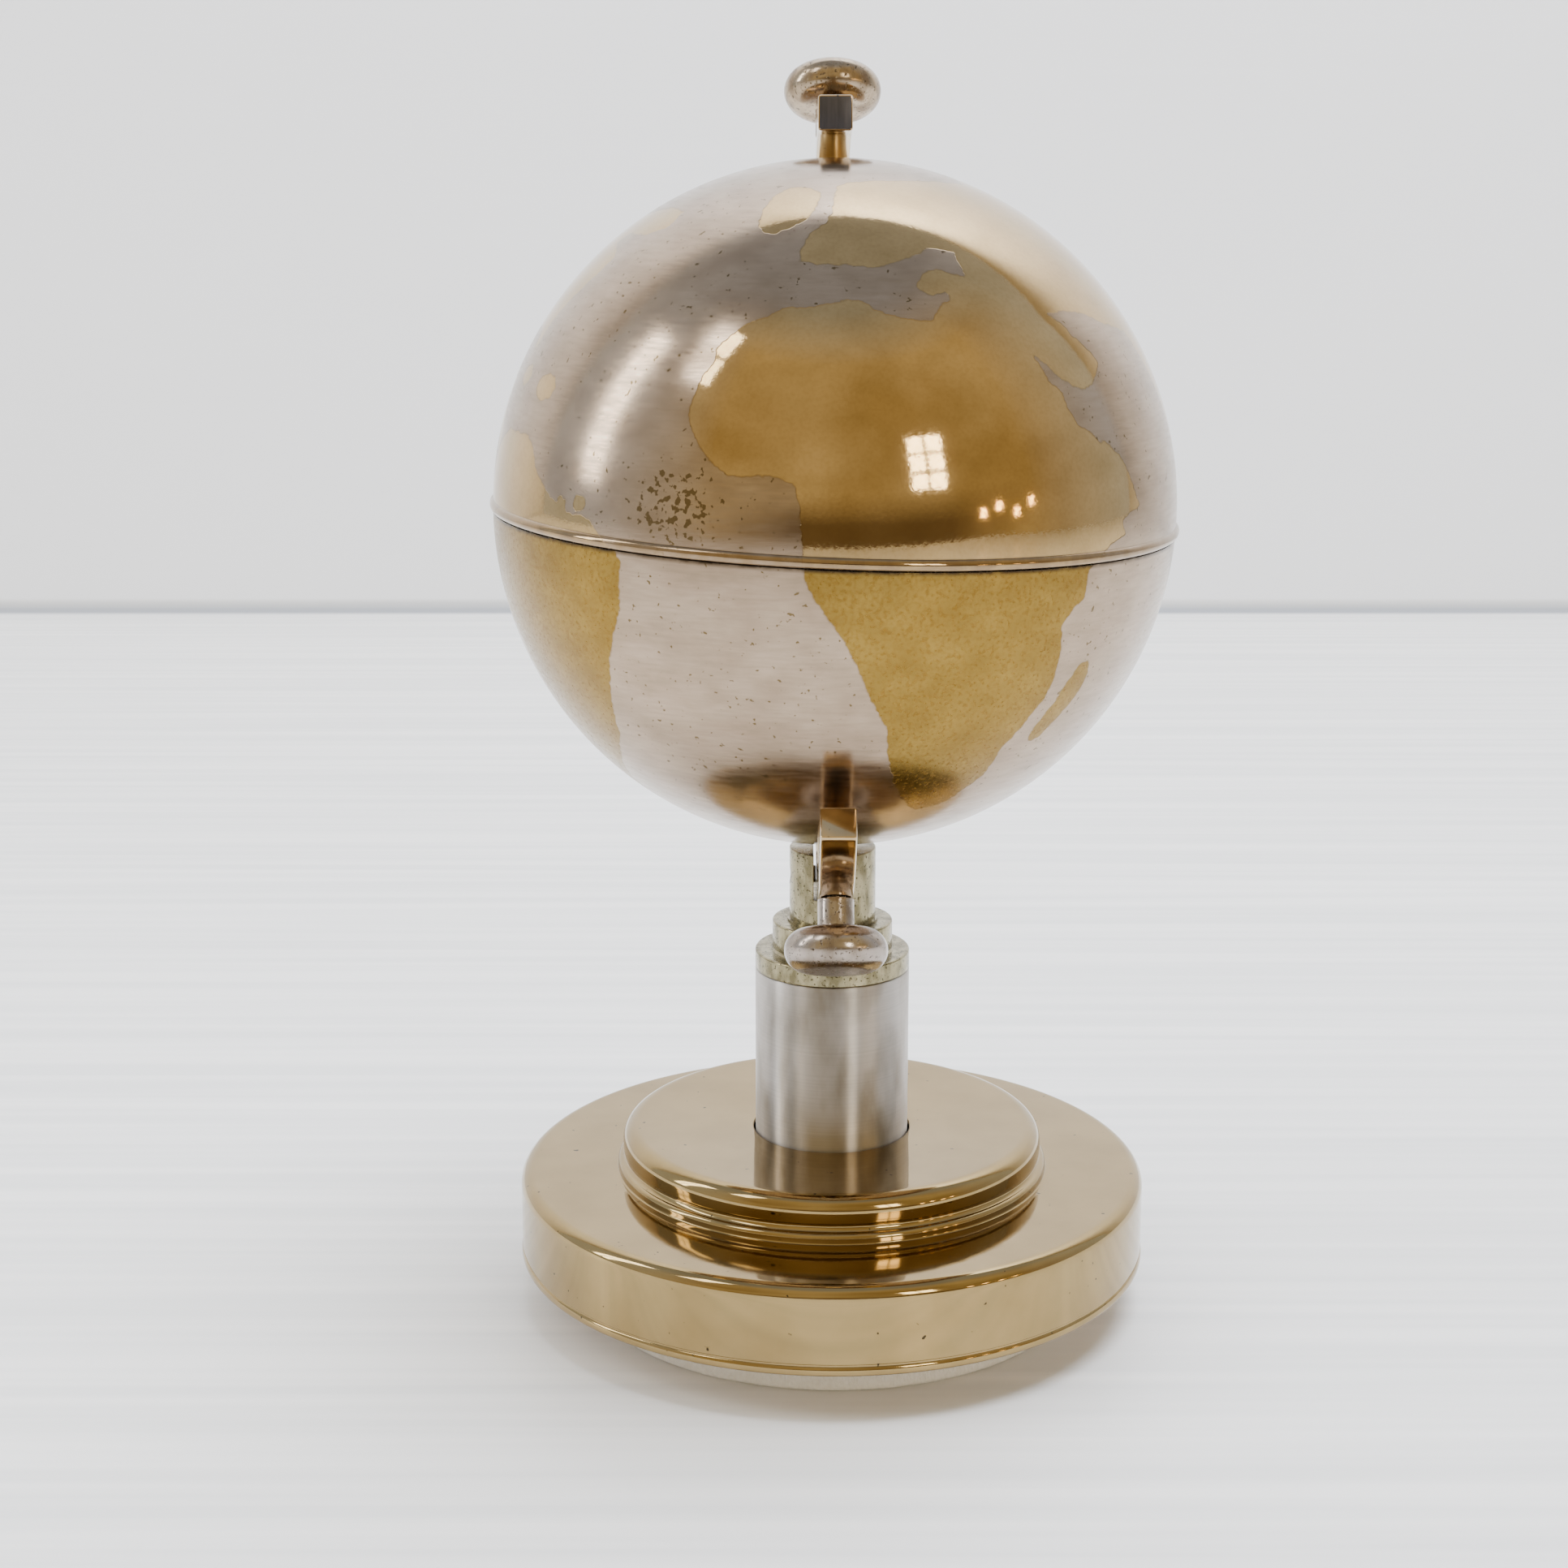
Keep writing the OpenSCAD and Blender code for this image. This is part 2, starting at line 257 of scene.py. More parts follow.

# %% [markdown]
# ## Polished bar
# The meridian bar is brass with worn nickel over it, polished hard, so it mirrors the globe beside it.
# Its top end was sawn off. That end face is painted dark grey as a painted reflection, with fine saw marks
# in it.

# %% Bar finishes
bar_brass = polished_metal("polished_bar_brass", "#C9B28C", "#B4986F", 0.07, 0.9, 0.74)
# Painted reflection: the top end face is dark grey, varied by stretched saw-mark noise.
end_face_reflection, tree, shader, place = new_finish("end_face_painted_reflection", Metallic=1.0)
saw_marks = grain(tree, place, 0.5, (1, 0.1, 0.1), detail=2)
tree.links.new(mixed(tree, saw_marks, "#46454C", "#5E5C60"), shader.inputs["Base Color"])
tree.links.new(ranged(tree, saw_marks, 0, 1, 0.35, 0.5), shader.inputs["Roughness"])
print("made", bar_brass.name, end_face_reflection.name)

# %% [markdown]
# ## Felt, board, iron, steel and nylon
# The pad is thick pressed wool felt, which scatters light with no shine and has a soft, fuzzy edge.
# The other finishes are on pieces that hide in the base and the post. A simple pattern each is
# enough: grain for the board, sand-cast skin for the weight, fine drawing lines for the steel.

# %% Felt and hidden finishes
white_felt, tree, shader, place = new_finish("pressed_wool_felt", Roughness=0.95)
shader.inputs["Sheen Weight"].default_value = 0.4
fibres = grain(tree, place, 0.5, (1, 1, 0.6), detail=6)
tree.links.new(mixed(tree, fibres, "#E4E2DC", "#FBFAF7"), shader.inputs["Base Color"])
bumped(tree, shader, fibres, 0.35)


def plain_finish(name, dark, light, metallic, roughness, size_mm, stretch=(1, 1, 1)):
    """A quiet finish with one pattern in its colour, roughness and relief."""
    material, tree, shader, place = new_finish(name, Metallic=metallic)
    pattern = grain(tree, place, size_mm, stretch, detail=4)
    tree.links.new(mixed(tree, pattern, dark, light), shader.inputs["Base Color"])
    dull = ranged(tree, pattern, 0.3, 0.7, roughness, roughness + 0.12)
    tree.links.new(dull, shader.inputs["Roughness"])
    bumped(tree, shader, pattern, 0.02)
    return material


board_fibre = plain_finish("pressed_board", "#8C6B45", "#B08C60", 0.0, 0.75, 1.2, (1, 0.2, 1))
cast_iron = plain_finish("sand_cast_iron", "#34332F", "#55524C", 0.8, 0.55, 1.0)
drawn_steel = plain_finish("drawn_steel", "#A7A6A3", "#CBCAC7", 1.0, 0.22, 0.4, (1, 1, 0.1))
black_steel = plain_finish("oil_blacked_steel", "#2B2A29", "#45433F", 0.9, 0.35, 0.5)
white_nylon = plain_finish("moulded_nylon", "#DDD8CA", "#EDE9DE", 0.0, 0.4, 1.0)
inner_brass = plain_finish("unpolished_brass", "#A08A62", "#B8A27A", 1.0, 0.28, 0.8, (1, 1, 0.4))
print("made", white_felt.name, "and six quiet finishes")

# %% [markdown]
# ## The map
# On the real globe the land is bare polished brass and the sea is satin nickel over it, so the coast is
# a line in the plating. A shader can draw such a line sharply if each point of the mesh knows how far
# it is from the nearest coast, in millimetres, counted as positive on land. The coast is written as
# longitude and latitude, as an engraver would lay it out, with longitude 0 at the front.

# %% Land outlines
SHIFT = 1.3
OLD_WORLD = [
    *[(-28, 32), (-26, 34), (-24.5, 35), (-22, 36), (-18.5, 38), (-13, 38.5), (-10, 39.3), (-6, 40.1)],
    *[(-3.5, 40), (-1.5, 38.8), (1, 37.8), (4, 37.2), (7, 36.7), (10, 36.8), (10.7, 37.8), (11.8, 39.3)],
    *[(13, 40), (14.5, 40.5), (15, 41.4), (14, 42), (12.6, 41.7), (11, 41.3), (8.5, 42.3), (7.7, 43.2)],
    *[(10, 45.3), (11.5, 46.2), (13.5, 46.5), (15.3, 46.2), (17.3, 45.7), (20, 45.2), (20.3, 46.3)],
    *[(19.5, 48), (20, 50), (17, 50.7), (13.5, 51), (9.5, 49.4), (7, 48.7), (4.5, 48), (1, 46.8)],
    *[(-1.5, 46.5), (-7, 47), (-13, 46.8), (-17, 47.3), (-17.5, 49.8), (-17, 52.3), (-15.4, 54.5)],
    *[(-12.3, 56.8), (-11.3, 59.6), (-12, 63.6), (-11.5, 67.8), (-7, 69.3), (4, 70.5), (20, 71)],
    *[(40, 71), (62, 70), (80, 73), (105, 77), (135, 73), (160, 70), (180, 69), (189, 66), (178, 63)],
    *[(164, 60), (161, 55), (157, 51), (155, 58), (142, 59), (137, 54), (140, 48), (130, 42), (127, 35)],
    *[(122, 39), (119, 36), (121, 29), (115, 23), (108, 20), (109, 12), (103, 9), (104, 2), (99, 8)],
    *[(96, 16), (91, 22), (86, 20), (80, 14), (77.5, 8), (74, 15), (71, 22), (68, 28), (65, 34), (55, 36)],
    *[(48, 38), (42, 38.5), (37, 38), (40, 36), (41.5, 34), (43.5, 32.4), (46, 29.7), (44.7, 28)],
    *[(41.8, 26), (39, 25), (37, 25.6), (34.7, 26.8), (32.6, 28.2), (31.1, 29.8), (29.3, 31.1)],
    *[(30, 29), (31, 27), (33.8, 24.4), (34, 22.3), (35.6, 19.5), (38.6, 18.2), (40.8, 16.3), (41, 17.2)],
    *[(45, 14.5), (46.8, 12.2), (50, 6.3), (45.3, 4.8), (44.6, 4.2), (45.5, 2), (42, 1), (38.5, -1)],
    *[(36.7, -2.7), (36.5, -7), (34, -9), (32.4, -11.7), (33.2, -13.7), (33.8, -18.5), (34, -21.5)],
    *[(33.5, -24.5), (31.9, -27.5), (30.8, -30.3), (28.8, -34), (28.7, -36), (28.8, -40), (27, -43.3)],
    *[(25.3, -45.3), (24, -47.3), (22, -48.8), (17, -49.8), (14, -48.5), (11, -45), (7.8, -41)],
    *[(6.3, -37.7), (4.8, -33.5), (3.8, -28.3), (1.8, -25.5), (0.2, -22.7), (-1.3, -19.8), (-2.5, -17)],
    *[(-4.2, -14), (-6, -11.3), (-8, -8.7), (-11, -4), (-11.5, 0.6), (-12, 4.2), (-12.4, 7.8)],
    *[(-13.3, 10.3), (-16.5, 11.5), (-19, 11.5), (-22.9, 11), (-24.3, 11.5), (-26.3, 12.7), (-29, 15)],
    *[(-31, 18.2), (-31.7, 19.8), (-31, 24.5), (-29.8, 26.8), (-29, 28.5), (-29.3, 30.4)],
]
SOUTH_AMERICA = [
    *[(-84, 10), (-78, 13), (-68, 13), (-65.3, 11.2), (-63, 8), (-59.6, 5.5), (-56, 3.6), (-55.5, 4.9)],
    *[(-54, 4.8), (-53.5, 2.5), (-49.8, 2.5), (-47.3, 1.7), (-46.5, 0.6), (-43, -1.5), (-41.5, -3.5)],
    *[(-42, -11), (-46, -19.5), (-49.5, -29), (-52, -36), (-55.5, -40), (-61, -45), (-66, -50)],
    *[(-68, -55), (-74, -53), (-77, -45), (-78, -34), (-80, -22), (-86, -14), (-91, -6), (-90, 2)],
]
NORTH_AMERICA = [
    *[(-61, 53), (-63, 57), (-72, 58), (-80, 57), (-92, 55), (-105, 59), (-125, 62), (-150, 65)],
    *[(-166, 64), (-160, 58), (-150, 60), (-135, 57), (-125, 48), (-124, 40), (-117, 33)],
    *[(-110, 24), (-105, 20), (-96, 16), (-90, 13), (-86, 8), (-84, 11), (-87, 16), (-88, 21), (-96, 20)],
    *[(-97, 27), (-90, 30), (-84, 29), (-81, 26), (-80, 31), (-77, 36), (-73, 41.5), (-72, 45), (-76, 47)],
    *[(-81, 48), (-79, 50.5), (-68, 50.5)],
]
ARCTIC = [(-100, 69), (-97, 72), (-96, 79), (-118, 81), (-150, 79), (-165, 74), (-140, 69), (-115, 67)]
NORTH_ISLAND = [
    *[(-31.2, 54.5), (-32.5, 57.2), (-33.2, 60), (-33.2, 63.4), (-31.2, 65.8), (-27.6, 66.9)],
    *[(-21.5, 66.5), (-16.8, 64.8), (-17, 60), (-18.5, 57.3), (-20.2, 55.7), (-25, 53), (-28.5, 53.2)],
]
MADAGASCAR = [
    *[(41.6, -18), (42.8, -20.3), (42.4, -24.5), (39.7, -29), (38.8, -31), (37.6, -32.8), (35, -33.2)],
    *[(34.3, -30.8), (35.5, -28), (36.7, -25.5), (37.7, -22), (39.2, -18.7)],
]
AUSTRALIA = [
    *[(114, -22), (114, -34), (124, -33), (131, -31), (138, -35), (146, -39), (153, -31), (153, -25)],
    *[(146, -19), (142, -11), (140, -17), (136, -12), (130, -12), (122, -18)],
]
ISLANDS = [
    *[(-50.5, 4.3, 1.4, 1.3), (-67, 21, 3.5, 2.2), (-78, 22, 2.5, 1.8), (102, -1, 5, 3)],
    *[(114, 1, 5, 4.5), (121, -2, 2, 4), (141, -5, 8, 3), (137, 36, 2.5, 5), (121, 14, 2, 4)],
    *[(173, -42, 3, 6), (146, -42.5, 2, 1.6), (81, 7.5, 1.2, 1.8)],
]
print("the largest outline has", len(OLD_WORLD), "turns")


# %% Distance from the coast
def oval(lon, lat, wide, high):
    """A small island as an oval of 16 turns."""
    turns = np.linspace(0, 2 * math.pi, 16, endpoint=False)
    return [(lon + wide * math.cos(t), lat + high * math.sin(t)) for t in turns]


def on_sphere(lon, lat):
    """The point in mm that a longitude and latitude in degrees stand for."""
    lon, lat = np.radians(lon), np.radians(lat)
    across = np.cos(lat)
    point = np.stack([across * np.sin(lon), -across * np.cos(lon), np.sin(lat)], axis=-1)
    return point * GLOBE_R


def is_land(lon, lat, outline):
    """For each point, whether a line to the east crosses the outline an odd number of times."""
    inside = np.zeros(len(lon), bool)
    for (lon_a, lat_a), (lon_b, lat_b) in zip(outline, outline[1:] + outline[:1]):
        if lat_a != lat_b:
            beside = (lat_a > lat) != (lat_b > lat)
            inside ^= beside & (lon < lon_a + (lat - lat_a) * (lon_b - lon_a) / (lat_b - lat_a))
    return inside


lands = [OLD_WORLD, SOUTH_AMERICA, NORTH_AMERICA, ARCTIC, NORTH_ISLAND, MADAGASCAR, AUSTRALIA]
lands += [oval(*island) for island in ISLANDS]
lands = [[(lon + SHIFT, lat) for lon, lat in land] for land in lands]
coast = []
for land in lands:
    for start, end in zip(land, land[1:] + land[:1]):
        steps = 2 + int(6 * math.dist(start, end))
        shares = np.linspace(0, 1, steps, endpoint=False)[:, None]
        coast.append(np.array(start) + shares * (np.array(end) - np.array(start)))
coast = np.concatenate(coast)
coast_points = on_sphere(coast[:, 0], coast[:, 1])
coast_tree = KDTree(len(coast_points))
for number, point in enumerate(coast_points):
    coast_tree.insert(point, number)
coast_tree.balance()
print("coast points:", len(coast_points))

# %% [markdown]
# ## Nickel sea and brass land
# The land and the sea differ in colour, in shine and by the thickness of the plating. The upper shell
# was polished to a mirror. The lower one is more worn: its brass is grainy, and its nickel duller. Its
# brass is also painted darker, as painted shade for the globe's underside.
# Fine noise moves the coast by about a quarter of a millimetre, which is the raggedness of a masked
# edge. Pits crowd round one spot on the front. Next to the seam the upper shell's lip is worn, and the
# lower shell gets a patchy band of painted shade just under the lip's overhang: each has a height where
# the band is off, one where it is full, and the band's colour.

# %% Plated map
PITTED_SPOT = Vector(on_sphere(-30.5, 5.5)) * MM


def plated_map(name, land_shine, sea_shine, grainy, tones, joint):
    """Brass land and nickel sea, parted by the shore attribute, with brushing, pits and a coast edge."""
    material, tree, shader, place = new_finish(name, Metallic=1.0)
    shore = add_node(tree, "ShaderNodeAttribute", attribute_name="shore").outputs["Fac"]
    ragged = ranged(tree, grain(tree, place, 1.3, detail=5), 0, 1, -0.55, 0.55)
    edge = sum_of(tree, "ADD", shore, ragged)
    land = ranged(tree, edge, -0.06, 0.06)
    line = ranged(tree, sum_of(tree, "ABSOLUTE", edge), 0.04, 0.2, 0.4, 0)
    brushing = grain(tree, place, 0.5, (0.12, 0.12, 1), detail=5)
    clouds = grain(tree, place, 7, (1, 1, 1.6), detail=5)
    sand = grain(tree, place, 0.55, detail=2)
    brass = mixed(tree, ranged(tree, clouds, 0.35, 0.7), *tones)
    brass = mixed(tree, ranged(tree, sand, 0.42, 0.7, 0, grainy), brass, "#7A5A22")
    nickel = mixed(tree, ranged(tree, clouds, 0.4, 0.68), "#AC9883", "#9C8873")
    nickel = mixed(tree, ranged(tree, brushing, 0.35, 0.75, 0, 0.25), nickel, "#756551")
    pits = grain(tree, place, 0.85, detail=2)
    spot = CENTRE + Matrix.Rotation(TURN, 4, AXLE) @ PITTED_SPOT
    distance = add_node(tree, "ShaderNodeVectorMath", {0: place}, {1: spot}, operation="DISTANCE")
    near = ranged(tree, distance.outputs["Value"], 3 * MM, 8 * MM, 0.13, 0)
    pitted = ranged(tree, sum_of(tree, "ADD", pits, near), 0.675, 0.705)
    nickel = mixed(tree, pitted, nickel, "#6B5A3E")
    tone = mixed(tree, line, mixed(tree, land, nickel, brass), "#7D6742")
    # Next to the seam: on the upper shell this band is real wear of the lip; on the lower shell it is
    # painted shade under the lip.
    height = add_node(tree, "ShaderNodeAttribute", attribute_name="seam").outputs["Fac"]
    band_off_at, band_full_at, mark = joint
    patchy = ranged(tree, grain(tree, place, 2.2, detail=4), 0.3, 0.6, 0.55, 1)
    band = sum_of(tree, "MULTIPLY", ranged(tree, height, band_off_at, band_full_at), patchy)
    tree.links.new(mixed(tree, band, tone, mark), shader.inputs["Base Color"])
    sea_dull = ranged(tree, brushing, 0.3, 0.7, sea_shine, sea_shine + 0.09)
    land_dull = ranged(tree, sand, 0.3, 0.7, land_shine, land_shine * 1.9)
    dull = add_node(tree, "ShaderNodeMix", {0: land, 2: sea_dull, 3: land_dull})
    tree.links.new(dull.outputs[0], shader.inputs["Roughness"])
    relief = add_node(tree, "ShaderNodeMix", {0: land, 2: brushing, 3: sand})
    step = sum_of(tree, "SUBTRACT", sum_of(tree, "MULTIPLY", relief.outputs[0], 0.35), land)
    bumped(tree, shader, step, 0.012)
    return material


lip_wear = (0.2, -0.05, "#8C765A")
# Painted shade: a darker patchy band on the lower shell, just under the upper shell's lip.
shade_under_lip = (-2.35, -1.85, "#3E3224")
upper_map = plated_map("mirror_polished_map", 0.045, 0.13, 0.12, ("#BCA072", "#AE9366"), lip_wear)
# Painted shade: the lower shell's brass tones are darker than the upper shell's; its grain and duller shine
# are wear.
lower_map = plated_map("worn_map_with_painted_shade", 0.16, 0.15, 0.6, ("#91763A", "#806630"), shade_under_lip)
print("made", upper_map.name, lower_map.name)

# %% [markdown]
# ## Turning a piece
# A lathe makes a round piece from its section, and the spin operator does the same with a wire of
# vertices. Each corner is rounded first by bevelling its vertex. Long straight runs are then cut
# into short ones, because smooth shading bends the light near a round, and short runs keep that small.


# %% Turned pieces
def wire(corners, closed=False):
    """A wire of (radius, height) corners in mm, standing in the x-z plane."""
    bm = bmesh.new()
    made = [bm.verts.new((r * MM, 0, z * MM)) for r, z in corners]
    for first, second in zip(made, made[1:] + made[:1] if closed else made[1:]):
        bm.edges.new((first, second))
    return bm, made


def round_corners(bm, corners, rounds):
    """Rounds the numbered corners of a wire. Each round starts that many mm from its corner."""
    for number, start in rounds.items():
        settings = {"segments": 3 + round(7 * start), "profile": 0.5, "material": -1}
        bmesh.ops.bevel(bm, geom=[corners[number]], offset=start * MM, affect="VERTICES", **settings)


def spin_full(bm, steps=256, run=0.8):
    """Cuts the long edges of a wire, and spins it round the z axis into a closed skin."""
    for edge in bm.edges[:]:
        cuts = int(edge.calc_length() / (run * MM))
        if cuts:
            bmesh.ops.subdivide_edges(bm, edges=[edge], cuts=cuts)
    around = {"cent": (0, 0, 0), "axis": (0, 0, 1), "angle": 2 * math.pi}
    bmesh.ops.spin(bm, geom=bm.verts[:] + bm.edges[:], steps=steps, use_merge=True, **around)
    bmesh.ops.remove_doubles(bm, verts=bm.verts[:], dist=0.001 * MM)
    bmesh.ops.recalc_face_normals(bm, faces=bm.faces[:])
    return bm


def turned(corners, rounds, closed=False, steps=256):
    """A turned piece from the corners of its section, with some of them rounded."""
    bm, made = wire(corners, closed)
    round_corners(bm, made, rounds)
    return spin_full(bm, steps)


def place_piece(name, bm, body, node, slot, *finishes):
    """Makes a mesh into an object that rides on a body and stands for a CAD node."""
    mesh = bpy.data.meshes.new(name)
    bm.to_mesh(mesh)
    bm.free()
    mesh.shade_smooth()
    mesh.set_sharp_from_angle(angle=math.radians(40))
    for finish in finishes:
        mesh.materials.append(finish)
    piece = bpy.data.objects.new(name, mesh)
    bpy.context.scene.collection.objects.link(piece)
    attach(piece, body)
    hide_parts(node)
    mesh.calc_loop_triangles()
    print(name, "triangles:", len(mesh.loop_triangles))
    return piece


# %% [markdown]
# ## The base
# The shell of the base is one pressed and spun cup. From the rim it has a rolled bead and a fine
# groove, a plain wall, a flat with a soft edge, a bead at the foot of the step, a hollow under the
# step's wall, and a top that dips to the column. All of it is one section, spun once.

# %% Base shell
base_corners = [
    *[(47.5, 7.2), (48.45, 7.2), (48.45, 8.5), (48.15, 8.7), (48.15, 8.95), (48.3, 9.1)],
    *[(48.3, 20.6), (33.25, 20.6), (33.25, 22.0), (32.15, 22.25), (31.95, 23.25), (32.4, 23.45)],
    *[(32.4, 27.4), (12.05, 26.5), (12.05, 25.7), (29.9, 26.6), (31.6, 24.9), (31.6, 19.8)],
    *[(46.7, 19.8), (47.5, 19.0)],
]
base_rounds = {1: 0.6, 2: 0.5, 3: 0.1, 6: 2.0, 7: 0.25, 8: 0.6, 9: 0.5, 10: 0.35, 11: 0.2}
base_rounds.update({12: 2.5, 13: 0.3})
base = turned(base_corners, base_rounds, closed=True)
place_piece("base_shell_polished", base, "stand", "base_shell", "pale_brass", pale_brass)

# %% [markdown]
# ## The felt pad
# Thick felt is cut with a knife, so its side is straight but never quite even. The rim is rounded a
# little, and a gentle noise moves each point in or out by up to a few tenths of a millimetre.

# %% Felt pad
felt = turned([(0, 0), (38.4, 0), (38.4, 7.35), (0, 7.35)], {1: 0.8, 2: 0.5}, steps=192)
for vert in felt.verts:
    uneven = noise.noise(vert.co / (2.5 * MM)) + 0.6 * noise.noise(vert.co / (0.9 * MM))
    vert.co.xy *= 1 + 0.003 * uneven
place_piece("felt_pad_wool", felt, "stand", "felt_pad", "felt", white_felt)

# %% [markdown]
# ## Column and collars
# Three plain round pieces of different widths. A turned edge is never sharp, so each rim gets a small round,
# which catches a bright line. The upper collar has a thin ring of solder round its foot.

# %% Column and collars
column = turned([(2.8, 24.2), (11.8, 24.2), (11.8, 52.45), (2.8, 52.45)], {1: 0.2, 2: 0.15}, True)
place_piece("column_turned", column, "stand", "column", "turned_aluminium", turned_aluminium)
lower_corners = [(4.02, 52.5), (11.8, 52.5), (11.8, 55.4), (4.02, 55.4)]
collar = turned(lower_corners, {1: 0.2, 2: 0.3}, True)
place_piece("collar_lower_turned", collar, "stand", "collar_lower", "aged_nickel", aged_nickel)
upper_corners = [(4.02, 55.4), (9.45, 55.4), (9.15, 55.7), (9.15, 60), (4.02, 60)]
collar = turned(upper_corners, {1: 0.05, 2: 0.15, 3: 0.3}, True)
place_piece("collar_upper_turned", collar, "stand", "collar_upper", "aged_nickel", aged_nickel)

# %% [markdown]
# ## The slotted post
# The post is a turned pin with a slot milled through its head, where the bar lies. It starts as a disc at
# the height of the slot's floor. Two cuts across it mark the slot, and the two outer parts are drawn
# up as the horns. Before that, the disc's rim is drawn down, out and in again to make the foot and the
# spigot, and then up inside it for the tie rod's hole.

# %% Post
POST_R = 6.55
SLOT_FLOOR = 64.4
SLOT_HALF = 2.95
HORN_H = 7.0
ROD_HOLE_H = 9.0
bm = bmesh.new()
bmesh.ops.create_circle(bm, cap_ends=True, radius=POST_R * MM, segments=192)
bmesh.ops.translate(bm, verts=bm.verts[:], vec=(0, 0, SLOT_FLOOR * MM))
for side in (-1, 1):
    everything = bm.verts[:] + bm.edges[:] + bm.faces[:]
    cut = {"plane_co": (side * SLOT_HALF * MM, 0, 0), "plane_no": (1, 0, 0)}
    bmesh.ops.bisect_plane(bm, geom=everything, **cut)
rim = [edge for edge in bm.edges if edge.is_boundary]
for radius, height in ((POST_R, 60.3), (6.9, 60.3), (6.9, 60.0), (4, 60.0), (4, 52.5), (2.52, 52.5)):
    drawn = bmesh.ops.extrude_edge_only(bm, edges=rim)["geom"]
    rim = [part for part in drawn if isinstance(part, bmesh.types.BMEdge)]
    ring = [part for part in drawn if isinstance(part, bmesh.types.BMVert)]
    for vert in ring:
        vert.co.xy = vert.co.xy.normalized() * radius * MM
        vert.co.z = height * MM
rim = [edge for edge in bm.edges if edge.is_boundary]
drawn = bmesh.ops.extrude_edge_only(bm, edges=rim)["geom"]
ring = [part for part in drawn if isinstance(part, bmesh.types.BMVert)]
bmesh.ops.translate(bm, verts=ring, vec=(0, 0, ROD_HOLE_H * MM))
rim = [edge for edge in bm.edges if edge.is_boundary]
bmesh.ops.holes_fill(bm, edges=rim, sides=0)
horns = [f for f in bm.faces if len(f.verts) > 20 and abs(f.calc_center_median().x) > SLOT_HALF * MM]
drawn = bmesh.ops.extrude_face_region(bm, geom=horns)["geom"]
lifted = [part for part in drawn if isinstance(part, bmesh.types.BMVert)]
bmesh.ops.translate(bm, verts=lifted, vec=(0, 0, HORN_H * MM))
bmesh.ops.delete(bm, geom=[face for face in horns if face.is_valid], context="FACES")
bmesh.ops.recalc_face_normals(bm, faces=bm.faces[:])
sharp = []
for edge in bm.edges:
    middle_z = (edge.verts[0].co.z + edge.verts[1].co.z) / 2
    if edge.calc_face_angle(0) > 0.6 and middle_z > (SLOT_FLOOR + 0.1) * MM:
        sharp.append(edge)
bmesh.ops.bevel(bm, geom=sharp, offset=0.15 * MM, affect="EDGES", segments=3, profile=0.5, material=-1)
post = place_piece("post_slotted", bm, "stand", "post", "aged_nickel", aged_nickel)

# %% [markdown]
# ## Drilling
# The screw's hole and the axle's holes are cut with a Boolean, as a drill would, and the result is kept
# as the piece's mesh so that nothing is left live.


# %% Drilling
def drill(piece, middle, axis, radius, length):
    """Cuts a round hole through a piece, about the point in the middle, along an axis."""
    bm = bmesh.new()
    round_bit = {"radius1": radius * MM, "radius2": radius * MM, "depth": length * MM}
    bmesh.ops.create_cone(bm, cap_ends=True, segments=48, **round_bit)
    turn = Vector((0, 0, 1)).rotation_difference(Vector(axis)).to_matrix().to_4x4()
    bmesh.ops.transform(bm, matrix=Matrix.Translation(middle) @ turn, verts=bm.verts[:])
    mesh = bpy.data.meshes.new("bit")
    bm.to_mesh(mesh)
    bm.free()
    bit = bpy.data.objects.new("bit", mesh)
    bpy.context.scene.collection.objects.link(bit)
    cut = piece.modifiers.new("hole", "BOOLEAN")
    cut.object = bit
    cut.solver = "EXACT"
    seen = piece.evaluated_get(bpy.context.evaluated_depsgraph_get())
    drilled = bpy.data.meshes.new_from_object(seen)
    piece.modifiers.remove(cut)
    piece.data = drilled
    bpy.data.objects.remove(bit)
    print(piece.name, "drilled, faces:", len(drilled.polygons))


drill(post, Vector((-6.5, 0, 67.0)) * MM, (1, 0, 0), 1.52, 6)

# %% [markdown]
# ## The meridian bar
# A square bar was bent to a C round the globe. Its section is a square with its four corners rounded,
# stood above the globe's centre and spun about the x axis: it starts 3 degrees behind the top,
# goes round the back and ends 48.5 degrees in front of the bottom.

# %% Meridian bar
BAR_HALF = 2.5
BAR_R = 56.3
bm = bmesh.new()
bmesh.ops.create_grid(bm, x_segments=1, y_segments=1, size=BAR_HALF * MM)
corner = {"segments": 3, "profile": 0.5, "material": -1}
bmesh.ops.bevel(bm, geom=bm.verts[:], offset=0.4 * MM, affect="VERTICES", **corner)
bmesh.ops.delete(bm, geom=bm.faces[:], context="FACES_ONLY")
stand_up = Matrix.Translation((0, 0, BAR_R * MM)) @ Matrix.Rotation(math.radians(90), 4, "X")
bmesh.ops.transform(bm, matrix=stand_up, verts=bm.verts[:])
bmesh.ops.rotate(bm, verts=bm.verts[:], cent=(0, 0, 0), matrix=Matrix.Rotation(math.radians(-3), 3, "X"))
bend = {"cent": (0, 0, 0), "axis": (-1, 0, 0), "angle": math.radians(225.5), "steps": 240}
bmesh.ops.spin(bm, geom=bm.verts[:] + bm.edges[:], **bend)
bmesh.ops.holes_fill(bm, edges=[edge for edge in bm.edges if edge.is_boundary], sides=0)
bmesh.ops.recalc_face_normals(bm, faces=bm.faces[:])
bmesh.ops.translate(bm, verts=bm.verts[:], vec=CENTRE)
ends = [face for face in bm.faces if len(face.verts) > 4]
